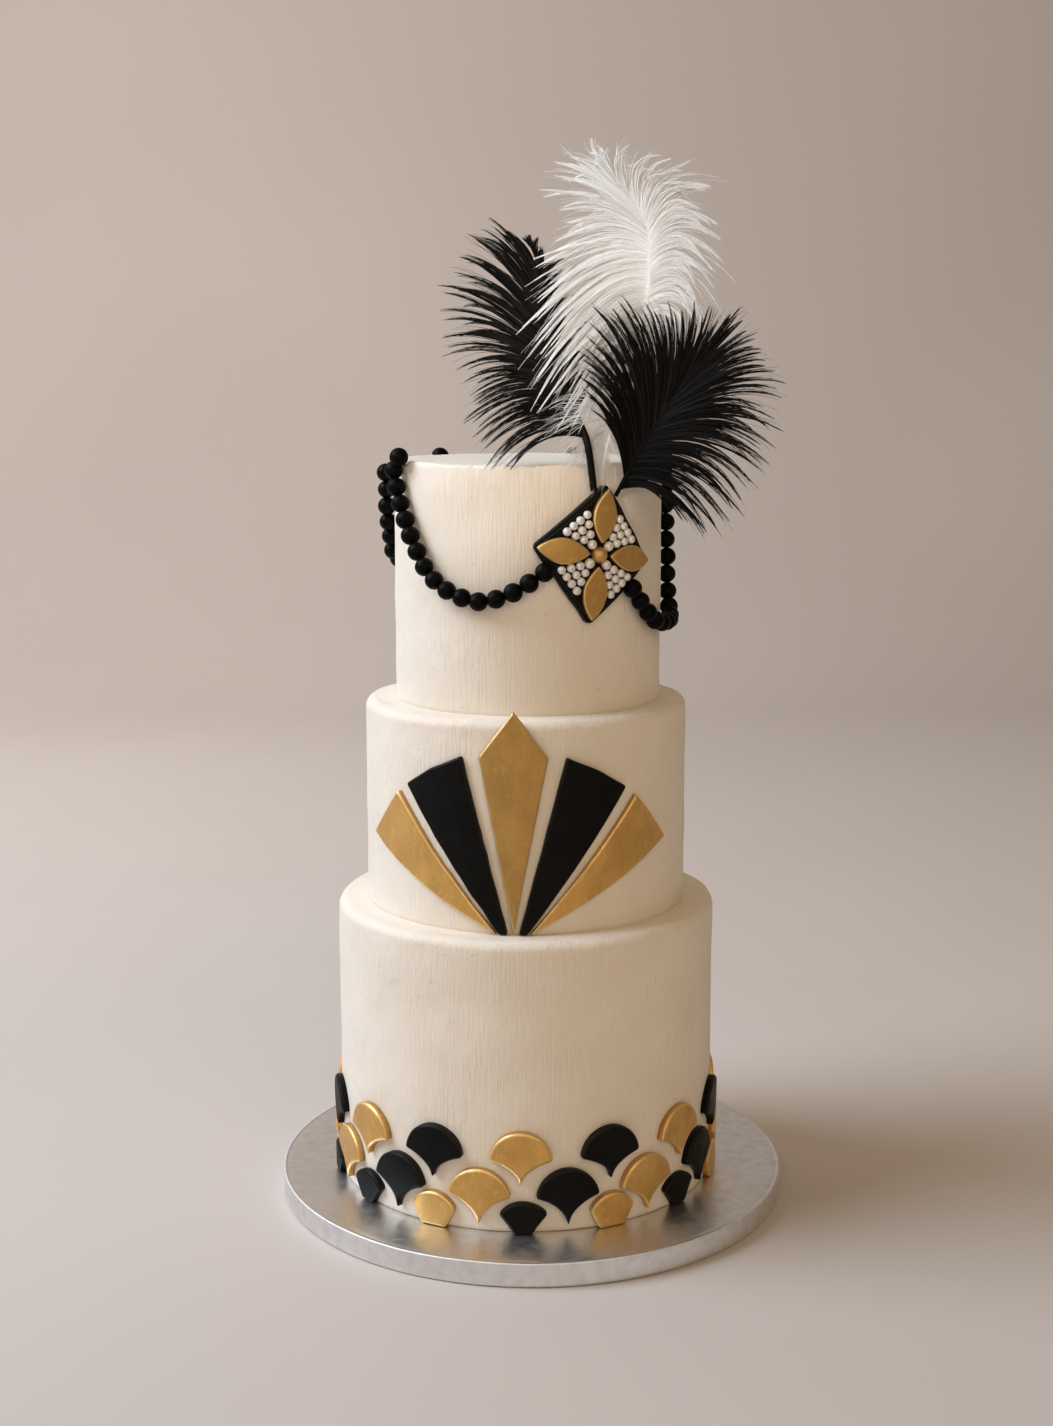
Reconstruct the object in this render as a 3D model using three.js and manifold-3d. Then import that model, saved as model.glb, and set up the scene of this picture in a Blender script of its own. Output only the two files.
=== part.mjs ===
// Three-tier wedding cake with a fan, scales, a brooch, a bead strand and ostrich plumes on a silver board.
// Millimetres, +Z up, origin at the centre of the board's underside. Azimuth 0 is the front (-Y), +90 is +X.
import * as THREE from "three";
import { mergeVertices } from "three/addons/utils/BufferGeometryUtils.js";
import Module from "manifold-3d";

const wasm = await Module();
wasm.setup();

// Board and tiers
const BOARD = { radius: 137.4, thickness: 12.7, chamfer: 0.8 };
const GAP = 0.3;
const TIERS = [
  { name: "tier_bottom", x: -3.3, radius: 101.5, top: 151.8, edge: 5.5 },
  { name: "tier_middle", x: -3.3, radius: 85.5, top: 260.4, edge: 5.5 },
  { name: "tier_top", x: -2.2, radius: 70.3, top: 385.6, edge: 2.5 },
];
const TIER_SIDES = 48;
const EDGE_STEPS = 3;

// Applied pieces stand off the icing by this much, so that their straight facets clear it
const STAND_OFF = 0.5;

// Scales round the bottom tier: heights are above the board. hollow is the share by which the lower edges
// follow a quarter of an ellipse, and below 0 they bulge. The gold and black ones of the low row differ.
const SCALE = { perRow: 14, front: -1, thickness: 4, bevel: 0.9, steps: 8, handPlacing: 0.5 };
const SCALE_ROWS = [
  { name: "scale_high", corner: 39, half: 16.6, crown: 15.4, drop: 12.7, hollow: 0.68, offset: 0 },
  { name: "scale_mid", corner: 19.3, half: 16.8, crown: 14.8, drop: 15, hollow: 0.68, offset: 0.5 },
  {
    name: "scale_low",
    corner: 10.6,
    half: 12.6,
    offset: 0,
    gold: { crown: 7.8, footHalf: 6, hollow: -0.4 },
    black: { crown: 6.5, footHalf: 4.8, hollow: 0.15 },
  },
];
const COLOUR_SEAM = -70;

// Fan on the middle tier, drawn flat as [along the surface, height above the tier below]
const FAN = {
  centre: -4.1,
  thickness: 3,
  bevel: 0.8,
  step: 9,
  kite: { height: 113.7, half: 17.8, shoulder: 90.4 },
  wedge: { foot: [2.8, 7.3], inner: [27.2, 90.3], outer: [60.8, 73], bulge: 1 },
  blade: { foot: 8.4, inner: [67.5, 68.4], outer: [90.8, 43] },
};

// Brooch on the top tier, turned a little clockwise
const BROOCH = {
  azimuth: 28.2,
  height: 341,
  side: 50.4,
  turn: -8,
  thickness: 4,
  bevel: 0.8,
  columns: 10,
};
const PETAL = { inner: 5.6, outer: 32.8, half: 6.6, thickness: 2.6, bevel: 0.7, steps: 8 };
const PEARL = { radius: 2.1, sides: 6, rings: 4, sunk: 0.4, pitch: 4.4 };
const INNER_PEARL = { radius: 2.5, out: 6.6 };
const PEARL_ROWS = [
  { out: 11.4, count: 2 },
  { out: 15.7, count: 3 },
  { out: 20, count: 4 },
];
const CENTRE_BALL = 4.2;

// Bead strand: pins on the rim, and swags between them as [azimuth, height above the board]. A bare thread
// leads from the first pin to the left swag.
const BEAD = { radius: 4.8, pitch: 9.3, neck: 1.7, shoulder: 4.5, sides: 6 };
const PIN_HEIGHT = 387.9;
const BACK_PIN_HEIGHT = 384.4;
const STRAND_PINS = [[-60, PIN_HEIGHT], [-140, BACK_PIN_HEIGHT], [160, BACK_PIN_HEIGHT], [106, PIN_HEIGHT]];
const THREAD = [[-60, PIN_HEIGHT], [-72, 387], [-84, 385.3], [-94.8, 382.5]];
const SWAG_FRONT = [
  [-60, PIN_HEIGHT], [-65, 380.6], [-62.9, 373.7], [-59.7, 365.8], [-52.4, 350.3],
  [-39.1, 328.3], [-20, 318.4], [-6.4, 322.7], [5.4, 332.5],
];
const SWAG_RIGHT = [
  [45, 322], [54, 309.9], [62, 304], [72, 302.4], [84, 302.6], [93, 306],
  [97.6, 314], [99, 326], [100.4, 340], [102.2, 356], [105, 376], [106, PIN_HEIGHT],
];
const SWAG_LEFT = [
  [-94.8, 382.5], [-95.4, 375], [-96.9, 361.9], [-98.7, 353.6], [-102, 345.3], [-105.5, 336],
  [-113, 330], [-122, 333], [-130, 346], [-136, 366], [-140, BACK_PIN_HEIGHT],
];
const BACK_SAG = 64;
const BACK_STEPS = 6;

// Plumes: spines and the loci of their barb tips as [x, y, z], all from the base upwards
const PLUME = { web: 0.55, root: 0.07, quill: 1.3, thick: [1.3, 0.7, 0.55, 0.3] };
const PLUMES = [
  {
    name: "feather_black_left",
    colour: "black",
    barbs: 17,
    first: 0.16,
    spine: [
      [30.5, -64.8, 387.5], [27, -67, 408], [21, -64, 425], [14, -59, 444], [8, -55, 463],
      [4, -51, 483], [0, -47, 502], [-5, -46, 508],
    ],
    left: [
      [-16, -74, 391], [-25, -73, 396], [-32, -62, 420], [-36, -57, 434], [-44, -53, 454],
      [-47, -49, 478], [-41, -45, 500], [-32, -44, 511], [-22, -44, 515], [-11, -45, 513],
    ],
    right: [
      [33, -52, 432], [32, -48, 454], [28, -45, 471], [21, -43, 485], [15, -42, 497],
      [7, -43, 505], [0, -45, 510], [-6, -45, 512],
    ],
  },
  {
    name: "feather_white",
    colour: "white",
    barbs: 18,
    first: 0.09,
    spine: [
      [34.5, -62.6, 390.5], [35, -65, 400], [42, -66, 427], [50, -64, 453], [56, -61, 480],
      [57, -59, 495], [56, -57, 511], [53, -56, 519], [48, -55, 526], [37, -53, 540],
    ],
    left: [
      [15, -77, 403], [8, -77, 415], [-1, -76, 426], [-6, -74, 441], [-7, -71, 463],
      [-3, -69, 480], [7, -67, 498], [8, -65, 515], [8, -62, 535], [13, -60, 549],
      [23, -58, 552], [31, -56, 553],
    ],
    right: [
      [62, -58, 424], [77, -58, 441], [90, -58, 461], [95, -58, 476], [93, -58, 492],
      [91, -57, 513], [87, -56, 530], [78, -55, 538], [69, -54, 543], [58, -53, 548],
      [49, -53, 552], [43, -54, 554],
    ],
  },
  {
    name: "feather_black_right",
    colour: "black",
    barbs: 18,
    first: 0.12,
    spine: [
      [41.5, -58.2, 382.5], [51, -66, 402], [63, -72, 423], [74, -76, 439], [82, -78, 452],
      [90, -79, 462],
    ],
    left: [
      [26, -74, 430], [22, -76, 450], [23, -77, 460], [27, -78, 472], [36, -78, 477],
      [47, -79, 477], [60, -80, 477], [75, -81, 476], [85, -82, 475], [95, -82, 472],
    ],
    right: [
      [68, -76, 383], [85, -80, 364], [97, -82, 366], [104, -84, 377], [111, -85, 387],
      [116, -86, 401], [120, -86, 419], [120, -85, 437], [115, -84, 453], [110, -83, 463],
      [102, -83, 470],
    ],
  },
];

// Colours of the pieces
const FINISH = {
  silver: { color: 0xb9babd, roughness: 0.28, metalness: 1 },
  ivory: { color: 0xe9dccb, roughness: 0.62, metalness: 0 },
  gold: { color: 0xc49a55, roughness: 0.42, metalness: 0.65 },
  black: { color: 0x141414, roughness: 0.5, metalness: 0 },
  white: { color: 0xf2ede8, roughness: 0.85, metalness: 0 },
};
const materials = Object.fromEntries(
  Object.entries(FINISH).map(([name, look]) => [name, new THREE.MeshStandardMaterial(look)]),
);

const radians = THREE.MathUtils.degToRad;
const [BOTTOM, MIDDLE, TOP] = TIERS;
const floorHeight = (aboveBoard) => BOARD.thickness + aboveBoard;

// Point at an azimuth in degrees, a distance from the tier's axis and a height above the board
function roundTier(tier, azimuth, radius, height) {
  const a = radians(azimuth);
  return new THREE.Vector3(tier.x + radius * Math.sin(a), -radius * Math.cos(a), floorHeight(height));
}

// Closed mesh from points and index triples
function meshFrom(points, faces) {
  const geometry = new THREE.BufferGeometry();
  geometry.setAttribute("position", new THREE.Float32BufferAttribute(points.flatMap((p) => p.toArray()), 3));
  geometry.setIndex(faces.flat());
  return geometry;
}

function toManifold(geometry) {
  const bare = geometry.clone();
  bare.deleteAttribute("normal");
  bare.deleteAttribute("uv");
  const merged = mergeVertices(bare, 1e-4);
  return new wasm.Manifold(
    new wasm.Mesh({
      numProp: 3,
      vertProperties: merged.attributes.position.array,
      triVerts: new Uint32Array(merged.index.array),
    }),
  );
}

function fromManifold(solid) {
  const mesh = solid.getMesh();
  const geometry = new THREE.BufferGeometry();
  geometry.setAttribute("position", new THREE.BufferAttribute(mesh.vertProperties, 3));
  geometry.setIndex(new THREE.BufferAttribute(mesh.triVerts, 1));
  return geometry;
}

// Board and tiers are turned profiles
function lathe(profile, sides) {
  const points = profile.map(([r, z]) => new THREE.Vector2(r, z));
  return new THREE.LatheGeometry(points, sides).rotateX(Math.PI / 2);
}

function boardGeometry() {
  const { radius, thickness, chamfer } = BOARD;
  return lathe(
    [[0, 0], [radius, 0], [radius, thickness - chamfer], [radius - chamfer, thickness], [0, thickness]],
    TIER_SIDES + 12,
  );
}

function tierGeometry({ radius, top, edge }, bottom) {
  const profile = [[0, bottom], [radius, bottom]];
  for (let i = 0; i <= EDGE_STEPS; i++) {
    const a = (Math.PI / 2) * (i / EDGE_STEPS);
    profile.push([radius - edge + edge * Math.cos(a), top - edge + edge * Math.sin(a)]);
  }
  profile.push([0, top]);
  return lathe(profile, TIER_SIDES);
}

// Point moved inwards from a corner of a closed outline, so that both its edges move in by the inset
function mitre(outline, i, inset) {
  const n = outline.length;
  const [before, here, after] = [outline[(i + n - 1) % n], outline[i], outline[(i + 1) % n]];
  const normal = (a, b) => new THREE.Vector2(b.y - a.y, a.x - b.x).normalize();
  const [n1, n2] = [normal(before, here), normal(here, after)];
  const middle = n1.clone().add(n2).normalize();
  return here.clone().addScaledVector(middle, inset / Math.max(middle.dot(n1), 0.16));
}

// Flat outline given as matching upper and lower points from left to right, with shared end points,
// laid on a round surface as a plate with bevelled edges. rings lists [distance outwards, inset].
function bentPlate(upper, lower, rings, place) {
  const last = upper.length - 1;
  const outline = [...upper, ...lower.slice(1, last).reverse()];
  const lowerIndex = (i) => (i === 0 ? 0 : i === last ? last : outline.length - i);
  const points = rings.flatMap(([out, inset]) =>
    outline.map((p, i) => {
      const q = mitre(outline, i, inset);
      return place(q.x, q.y, out);
    }),
  );
  const faces = [];
  const quad = (a, b, c, d) => {
    if (a !== b && b !== c && c !== a) faces.push([a, b, c]);
    if (a !== c && c !== d && d !== a) faces.push([a, c, d]);
  };
  const n = outline.length;
  const front = (rings.length - 1) * n;
  for (let i = 0; i < last; i++) {
    const [u0, u1, l0, l1] = [i, i + 1, lowerIndex(i), lowerIndex(i + 1)];
    quad(front + l0, front + l1, front + u1, front + u0);
    quad(u0, u1, l1, l0);
  }
  for (let ring = 0; ring < rings.length - 1; ring++)
    for (let i = 0; i < n; i++) {
      const j = (i + 1) % n;
      quad(ring * n + i, (ring + 1) * n + i, (ring + 1) * n + j, ring * n + j);
    }
  return meshFrom(points, faces);
}

// Upper and lower points of a straight-edged outline, one pair at each corner and at least every step
function columnsOf(upperLine, lowerLine, step) {
  const corners = [...new Set([...upperLine, ...lowerLine].map(([x]) => x))].sort((a, b) => a - b);
  const xs = [corners[0]];
  for (const x of corners.slice(1)) {
    const from = xs[xs.length - 1];
    const parts = Math.ceil((x - from) / step);
    for (let i = 1; i <= parts; i++) xs.push(from + ((x - from) * i) / parts);
  }
  const heightOn = (line, x) => {
    const i = Math.max(1, line.findIndex(([lx]) => lx >= x - 1e-9));
    const [[x0, z0], [x1, z1]] = [line[i - 1], line[i]];
    return z0 + ((z1 - z0) * (x - x0)) / (x1 - x0);
  };
  const trace = (line) => xs.map((x) => new THREE.Vector2(x, heightOn(line, x)));
  return [trace(upperLine), trace(lowerLine)];
}

const mirrored = (line) => line.map(([x, z]) => [-x, z]).reverse();

// Round-topped scale whose lower edges curve in to a tip, or to a flat foot on the board
function scaleOutline({ corner, half, crown, hollow, drop = corner - GAP, footHalf = 0 }) {
  const radius = (half * half + crown * crown) / (2 * crown);
  const span = Math.asin(Math.min(1, half / radius));
  const tip = corner - drop;
  const upper = [];
  const lower = [];
  for (let i = 0; i <= SCALE.steps; i++) {
    const t = (2 * i) / SCALE.steps - 1;
    const a = t * span;
    upper.push(new THREE.Vector2(radius * Math.sin(a), corner + crown - radius * (1 - Math.cos(a))));
    const along = Math.abs(t);
    const x = footHalf + (half - footHalf) * along;
    const rise = hollow * Math.sqrt(along * (2 - along)) + (1 - hollow) * along;
    lower.push(new THREE.Vector2(Math.sign(t) * x, tip + drop * rise));
  }
  if (footHalf) {
    const middle = SCALE.steps / 2;
    lower[middle].set(0, tip);
    lower[middle - 1].set(-footHalf, tip);
    lower[middle + 1].set(footHalf, tip);
  }
  return [upper, lower];
}

function scaleNodes() {
  const nodes = [];
  const pitch = 360 / SCALE.perRow;
  SCALE_ROWS.forEach((row, rowIndex) => {
    for (let k = 0; k < SCALE.perRow; k++) {
      const step = k - SCALE.perRow / 2;
      const exact = SCALE.front + pitch * (step + row.offset);
      const azimuth = exact + SCALE.handPlacing * Math.sin(5.1 * k + 2.3 * rowIndex);
      const slipped = rowIndex > 0 && exact < COLOUR_SEAM;
      const even = (step + (rowIndex > 0 ? 1 : 0)) % 2 === 0;
      const finish = even !== slipped ? "gold" : "black";
      const [upper, lower] = scaleOutline({ ...row, ...row[finish] });
      const reference = BOTTOM.radius + SCALE.thickness;
      const place = (x, z, out) =>
        roundTier(BOTTOM, azimuth + THREE.MathUtils.radToDeg(x / reference), BOTTOM.radius + out, z);
      const rings = [[STAND_OFF, 0], [SCALE.thickness, SCALE.bevel]];
      nodes.push({
        name: `${row.name}_${String(k + 1).padStart(2, "0")}`,
        finish,
        geometry: bentPlate(upper, lower, rings, place),
      });
    }
  });
  return nodes;
}

// Fan of a kite, two wedges and two blades, standing on the bottom tier's top
function fanNodes() {
  const { kite, wedge, blade, thickness, bevel, step } = FAN;
  const reference = MIDDLE.radius + thickness;
  const place = (x, z, out) =>
    roundTier(MIDDLE, FAN.centre + THREE.MathUtils.radToDeg(x / reference), MIDDLE.radius + out,
      BOTTOM.top + GAP + z);
  const rings = [[STAND_OFF, 0], [thickness - bevel, 0], [thickness, bevel]];
  const plate = (upper, lower) => bentPlate(...columnsOf(upper, lower, step), rings, place);

  const side = [-kite.half, kite.shoulder];
  const otherSide = [kite.half, kite.shoulder];
  const middleOfEdge = [
    (wedge.inner[0] + wedge.outer[0]) / 2 + wedge.bulge / 2,
    (wedge.inner[1] + wedge.outer[1]) / 2 + wedge.bulge,
  ];
  const wedgeTop = [[wedge.foot[0], 0], wedge.inner, middleOfEdge, wedge.outer];
  const wedgeUnder = [[wedge.foot[0], 0], [wedge.foot[1], 0], wedge.outer];
  const bladeTop = [[blade.foot, 0], blade.inner, blade.outer];
  const bladeUnder = [[blade.foot, 0], blade.outer];
  return [
    { name: "fan_kite", finish: "gold", geometry: plate([side, [0, kite.height], otherSide], [side, [0, 0], otherSide]) },
    { name: "fan_wedge_right", finish: "black", geometry: plate(wedgeTop, wedgeUnder) },
    { name: "fan_wedge_left", finish: "black", geometry: plate(mirrored(wedgeTop), mirrored(wedgeUnder)) },
    { name: "fan_blade_right", finish: "gold", geometry: plate(bladeTop, bladeUnder) },
    { name: "fan_blade_left", finish: "gold", geometry: plate(mirrored(bladeTop), mirrored(bladeUnder)) },
  ];
}

// Brooch: places are drawn flat from its centre, then bent round the top tier
function placeOnBrooch(x, z, out) {
  const reference = TOP.radius + BROOCH.thickness;
  return roundTier(TOP, BROOCH.azimuth + THREE.MathUtils.radToDeg(x / reference), TOP.radius + out,
    BROOCH.height + z);
}

function turned(x, z, degrees) {
  return new THREE.Vector2(x, z).rotateAround(new THREE.Vector2(), radians(degrees));
}

function plaqueGeometry() {
  const reach = BROOCH.side / Math.SQRT2;
  const [right, top, left, bottom] = [0, 90, 180, 270].map((a) => turned(reach, 0, a + BROOCH.turn).toArray());
  const [upper, lower] = columnsOf([left, top, right], [left, bottom, right], (2 * reach) / BROOCH.columns);
  const { thickness, bevel } = BROOCH;
  const rings = [[STAND_OFF, 0], [thickness - bevel, 0], [thickness, bevel]];
  return bentPlate(upper, lower, rings, placeOnBrooch);
}

function ballAt(x, z, radius, sides, rings) {
  const centre = placeOnBrooch(x, z, BROOCH.thickness + PEARL.sunk);
  return new THREE.SphereGeometry(radius, sides, rings).rotateX(Math.PI / 2).translate(...centre.toArray());
}

// Plaque with its centre ball and, between each two petals, rows of pearls widening outwards
function broochGeometry() {
  let solid = toManifold(plaqueGeometry()).add(toManifold(ballAt(0, 0, CENTRE_BALL, 8, 6)));
  for (let quarter = 0; quarter < 4; quarter++) {
    const turn = quarter * 90 + 45 + BROOCH.turn;
    const inner = turned(INNER_PEARL.out, 0, turn);
    solid = solid.add(toManifold(ballAt(inner.x, inner.y, INNER_PEARL.radius, PEARL.sides, PEARL.rings)));
    for (const { out, count } of PEARL_ROWS)
      for (let i = 0; i < count; i++) {
        const at = turned(out, (i - (count - 1) / 2) * PEARL.pitch, turn);
        solid = solid.add(toManifold(ballAt(at.x, at.y, PEARL.radius, PEARL.sides, PEARL.rings)));
      }
  }
  return fromManifold(solid);
}

// Pointed oval petal lying on the plaque, from near the centre out to a corner
function petalNodes() {
  const { inner, outer, half, thickness, bevel, steps } = PETAL;
  return ["right", "top", "left", "bottom"].map((name, quarter) => {
    const turn = quarter * 90 + BROOCH.turn;
    const upper = [];
    const lower = [];
    for (let i = 0; i <= steps; i++) {
      const t = i / steps;
      const width = half * Math.sin(Math.PI * t) ** 0.85;
      upper.push(new THREE.Vector2(inner + (outer - inner) * t, width));
      lower.push(new THREE.Vector2(inner + (outer - inner) * t, -width));
    }
    const place = (x, z, out) => {
      const p = turned(x, z, turn);
      return placeOnBrooch(p.x, p.y, BROOCH.thickness + out);
    };
    const rings = [[STAND_OFF, 0], [thickness - bevel, 0], [thickness, bevel]];
    return { name: `petal_${name}`, finish: "gold", geometry: bentPlate(upper, lower, rings, place) };
  });
}

// Chain of beads along a path of [azimuth, height]: rings narrow to a neck between each two beads.
// A bare chain is the thread alone.
function beadChain(path, bare = false) {
  const radius = TOP.radius + BEAD.radius + GAP;
  const perDegree = radians(radius);
  const flat = path.map(([a, z]) => new THREE.Vector3(a * perDegree, z, 0));
  const curve = new THREE.CatmullRomCurve3(flat, false, "centripetal");
  const length = curve.getLength();
  const count = Math.round(length / BEAD.pitch);
  const stops = [[0, BEAD.neck]];
  for (let i = 0; i < count; i++) {
    if (!bare) stops.push([(i + 0.24) / count, BEAD.shoulder], [(i + 0.76) / count, BEAD.shoulder]);
    stops.push([(i + 1) / count, BEAD.neck]);
  }

  const points = [];
  for (const [t, size] of stops) {
    const at = curve.getPointAt(t);
    const along = curve.getTangentAt(t);
    const a = at.x / radius;
    const around = new THREE.Vector3(Math.cos(a), Math.sin(a), 0);
    const outward = new THREE.Vector3(Math.sin(a), -Math.cos(a), 0);
    const tangent = around.clone().multiplyScalar(along.x).add(new THREE.Vector3(0, 0, along.y)).normalize();
    const across = new THREE.Vector3().crossVectors(tangent, outward);
    const centre = roundTier(TOP, THREE.MathUtils.radToDeg(a), radius, at.y);
    for (let side = 0; side < BEAD.sides; side++) {
      const phi = (2 * Math.PI * side) / BEAD.sides;
      points.push(
        centre.clone()
          .addScaledVector(outward, size * Math.cos(phi))
          .addScaledVector(across, size * Math.sin(phi)),
      );
    }
  }
  const faces = [];
  const n = BEAD.sides;
  for (let ring = 0; ring < stops.length - 1; ring++)
    for (let i = 0; i < n; i++) {
      const [a, b] = [ring * n + i, ring * n + ((i + 1) % n)];
      faces.push([a, b + n, a + n], [a, b, b + n]);
    }
  const end = (stops.length - 1) * n;
  for (let i = 1; i < n - 1; i++) faces.push([0, i + 1, i], [end, end + i, end + i + 1]);
  return toManifold(meshFrom(points, faces));
}

// Even swag between two places on the rim
function evenSwag([from, fromHeight], [to, toHeight]) {
  const path = [];
  for (let i = 0; i <= BACK_STEPS; i++) {
    const t = i / BACK_STEPS;
    path.push([from + (to - from) * t, fromHeight + (toHeight - fromHeight) * t - 4 * BACK_SAG * t * (1 - t)]);
  }
  return path;
}

function strandGeometry() {
  const [, backLeft, backRight, right] = STRAND_PINS;
  const [backRightAzimuth, backRightHeight] = backRight;
  let strand = beadChain(SWAG_FRONT)
    .add(beadChain(SWAG_RIGHT))
    .add(beadChain(THREAD, true))
    .add(beadChain(SWAG_LEFT))
    .add(beadChain(evenSwag(backLeft, [backRightAzimuth - 360, backRightHeight])))
    .add(beadChain(evenSwag(backRight, right)));
  for (const [azimuth, height] of STRAND_PINS) {
    const centre = roundTier(TOP, azimuth, TOP.radius + BEAD.radius + GAP, height);
    const bead = new THREE.SphereGeometry(BEAD.radius, 8, 6).translate(...centre.toArray());
    strand = strand.add(toManifold(bead));
  }
  return fromManifold(strand);
}

// Plume: a thin sheet with a thick spine, whose edges part into tapering barbs
function plumeGeometry({ spine, left, right, barbs, first }) {
  const curveOf = (points) => new THREE.CatmullRomCurve3(points.map((p) => new THREE.Vector3(...p)), false, "centripetal");
  const spineCurve = curveOf(spine);
  const outward = new THREE.Vector3(0, -1, 0);
  const points = [];
  const halves = [];
  const faces = [];
  const addPoint = (p, half) => {
    points.push(p);
    halves.push(half);
    return points.length - 1;
  };
  const [thickSpine, thickRoot, thickWeb, thickTip] = PLUME.thick;
  const stems = [];
  for (let i = 0; i <= barbs; i++) {
    const u = first + (1 - first) * (i / barbs);
    stems.push(addPoint(spineCurve.getPointAt(u), thickSpine));
  }

  // Place on the barb line that leaves the spine at share v of its length, at share t along it
  const barbAt = (tips, v, t) => {
    const u = first + (1 - first) * v;
    const base = spineCurve.getPointAt(u);
    const tip = tips.getPointAt(v);
    const reach = base.distanceTo(tip);
    const lift = spineCurve.getTangentAt(u).multiplyScalar(0.3 * reach);
    const bend = base.clone().lerp(tip, 0.42).add(lift);
    return new THREE.QuadraticBezierCurve3(base, bend, tip).getPoint(t);
  };
  const roots = [left, right].map((locus, sideIndex) => {
    const tips = curveOf(locus);
    const triangle = (a, b, c) => faces.push(sideIndex === 0 ? [a, c, b] : [a, b, c]);
    const lines = [];
    for (let i = 0; i <= barbs; i++) {
      const v = i / barbs;
      lines.push([
        stems[i],
        addPoint(barbAt(tips, v, PLUME.root), thickRoot),
        addPoint(barbAt(tips, v, PLUME.web), thickWeb),
      ]);
    }
    for (let i = 0; i < barbs; i++) {
      const [a, b] = [lines[i], lines[i + 1]];
      for (let k = 0; k < 2; k++) {
        triangle(a[k], a[k + 1], b[k + 1]);
        triangle(a[k], b[k + 1], b[k]);
      }
      const v = (i + 0.5) / barbs;
      const half = 0.22 / barbs;
      const reach = 0.5 + 0.5 * PLUME.web;
      const low = addPoint(barbAt(tips, v - half, reach), thickWeb);
      const high = addPoint(barbAt(tips, v + half, reach), thickWeb);
      const tip = addPoint(barbAt(tips, v, 1), thickTip);
      triangle(a[2], low, high);
      triangle(a[2], high, b[2]);
      triangle(low, tip, high);
    }
    return lines[0][1];
  });

  // Bare quill below the first barbs
  const side = spineCurve.getTangentAt(first / 2).cross(outward).normalize().multiplyScalar(PLUME.quill);
  let upper = [roots[0], stems[0], roots[1]];
  for (const u of [first / 2, 0]) {
    const at = spineCurve.getPointAt(u);
    const row = [at.clone().sub(side), at.clone(), at.clone().add(side)].map((p) => addPoint(p, thickSpine));
    for (let k = 0; k < 2; k++) {
      faces.push([row[k], row[k + 1], upper[k + 1]]);
      faces.push([row[k], upper[k + 1], upper[k]]);
    }
    upper = row;
  }
  return thickened(points, halves, faces, outward);
}

// Closed solid made of a sheet's front and back faces, split alike, and a wall along each open edge
function thickened(points, halves, faces, outward) {
  const n = points.length;
  const front = points.map((p, i) => p.clone().addScaledVector(outward, halves[i]));
  const back = points.map((p, i) => p.clone().addScaledVector(outward, -halves[i]));
  const edges = new Map();
  for (const [a, b, c] of faces)
    for (const [p, q] of [[a, b], [b, c], [c, a]]) edges.set(`${p},${q}`, [p, q]);
  const walls = [];
  for (const [p, q] of edges.values())
    if (!edges.has(`${q},${p}`)) walls.push([p, p + n, q + n], [p, q + n, q]);
  return meshFrom([...front, ...back], [...faces, ...faces.map(([a, b, c]) => [a + n, c + n, b + n]), ...walls]);
}

const cake = new THREE.Group();

function place(name, geometry, finish) {
  const mesh = new THREE.Mesh(geometry, materials[finish]);
  mesh.name = name;
  cake.add(mesh);
  return mesh;
}

place("board", boardGeometry(), "silver");
TIERS.forEach((tier, i) => {
  const below = i === 0 ? 0 : TIERS[i - 1].top;
  const mesh = place(tier.name, tierGeometry(tier, below + GAP), "ivory");
  mesh.position.set(tier.x, 0, BOARD.thickness);
});
for (const { name, finish, geometry } of [...scaleNodes(), ...fanNodes(), ...petalNodes()])
  place(name, geometry, finish);
place("brooch_plaque", broochGeometry(), "black");
place("bead_strand", strandGeometry(), "black");
for (const plume of PLUMES) place(plume.name, plumeGeometry(plume), plume.colour);

export default cake;
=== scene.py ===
"""Looks of the three-tier wedding cake: icing, sugar paste scales and fan, brooch, beads, ostrich plumes and
foil board.

Sizes are in millimetres in the cake's frame: the origin is the centre of the board's underside, +Z is up and
the front is at -Y. They become metres where a mesh is made. Stage, lights and camera are in metres.
"""
import math

import bpy
import numpy as np
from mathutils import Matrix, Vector


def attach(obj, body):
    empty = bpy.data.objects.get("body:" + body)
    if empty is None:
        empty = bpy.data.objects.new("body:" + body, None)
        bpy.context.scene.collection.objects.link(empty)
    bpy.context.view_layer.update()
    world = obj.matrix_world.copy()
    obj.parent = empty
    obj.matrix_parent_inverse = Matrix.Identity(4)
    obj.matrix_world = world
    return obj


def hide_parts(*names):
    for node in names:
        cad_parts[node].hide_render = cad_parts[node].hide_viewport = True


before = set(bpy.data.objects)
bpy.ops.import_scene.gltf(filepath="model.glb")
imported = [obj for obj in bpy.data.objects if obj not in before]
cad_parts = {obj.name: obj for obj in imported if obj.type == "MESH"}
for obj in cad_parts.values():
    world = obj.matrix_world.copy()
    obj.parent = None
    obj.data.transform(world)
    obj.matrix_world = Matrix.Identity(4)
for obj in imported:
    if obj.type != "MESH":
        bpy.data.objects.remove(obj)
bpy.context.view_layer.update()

MM = 0.001

# Board and tiers. Heights of the tiers are above the board.
BOARD = dict(radius=137.4, thickness=12.7, edge=0.7, lip=1.5)
TIERS = {
    "tier_bottom": dict(x=-3.3, radius=101.5, bottom=0.2, top=151.8, edge=5.0, ragged=0.16, columns=320),
    "tier_middle": dict(x=-3.3, radius=85.5, bottom=151.3, top=260.4, edge=5.0, ragged=0.16, columns=300),
    "tier_top": dict(x=-2.2, radius=70.3, bottom=259.9, top=385.6, edge=2.0, ragged=0.75, columns=280),
}
BOTTOM, MIDDLE, TOP = TIERS.values()
ROOTED = -0.3  # applied pieces start this far inside the icing
HUNG = 0.3  # the beads hang this far off the icing

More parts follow.
